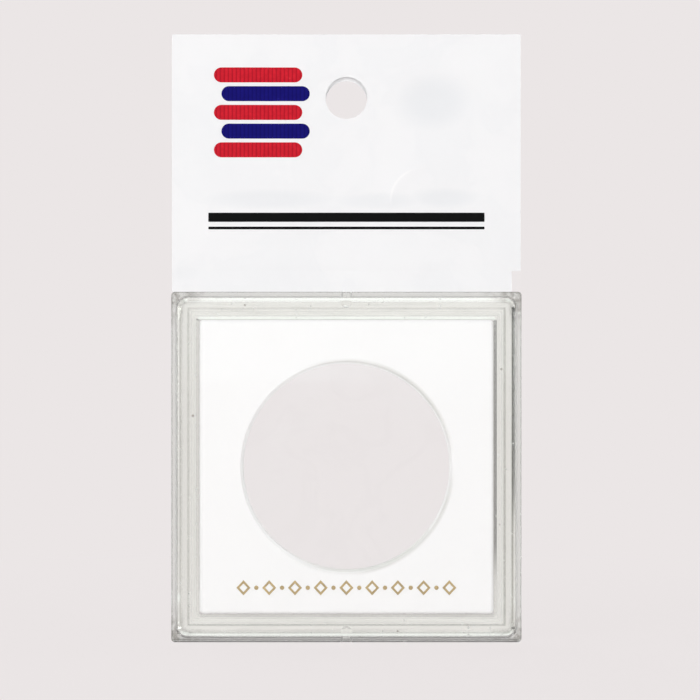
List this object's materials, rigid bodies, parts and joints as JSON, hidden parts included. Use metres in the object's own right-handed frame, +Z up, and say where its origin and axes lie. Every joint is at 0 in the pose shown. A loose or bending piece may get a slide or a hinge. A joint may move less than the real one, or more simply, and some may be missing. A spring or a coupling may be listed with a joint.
{
  "type": "coin holder",
  "caption": "Square clear snap-together case with a white insert that seats one coin, hung from a folding white film header with a round peg hole.",
  "frame": {"origin": "on the surface that the case stands on, under the middle of the whole part", "axes": "+Z up, +X to the right of someone who faces the front window, -Y out of the front window"},
  "size_m": [0.0652, 0.0066, 0.1132],
  "materials": {
    "clear_shell": "clear polished moulding",
    "white_insert": "smooth satin white",
    "gold_foil": "hot-stamped gold foil",
    "clear_film": "clear film",
    "white_film": "white film, slightly wrinkled",
    "red_ink": "printed ink",
    "blue_ink": "printed ink",
    "black_ink": "printed ink"
  },
  "bodies": {
    "back_shell": {"back_shell": "clear_shell"},
    "insert": {"insert_plate": "white_insert", "foil_ornament": "gold_foil"},
    "front_shell": {"front_shell": "clear_shell"},
    "hanger": {"hanger_film": "clear_film"},
    "header": {"header_back_ply": "white_film", "header_front_ply": "white_film", "header_mark_red": "red_ink", "header_mark_blue": "blue_ink", "header_rule": "black_ink"}
  },
  "joints": [
    {"name": "insert_lift", "type": "slide", "parent": "back_shell", "child": "insert", "axis": [0, -1, 0], "range_m": [0, 0.03]},
    {"name": "front_lift", "type": "slide", "parent": "insert", "child": "front_shell", "axis": [0, -1, 0], "range_m": [0, 0.05]},
    {"name": "hanger_slide", "type": "slide", "parent": "back_shell", "child": "hanger", "axis": [0, 0, 1], "range_m": [0, 0.07]},
    {"name": "header_fold", "type": "hinge", "parent": "hanger", "child": "header", "pos_m": [0, 0.00317, 0.0657], "axis": [1, 0, 0], "range_deg": [-135, 90], "stiffness_Nm_per_rad": 0.002}
  ]
}
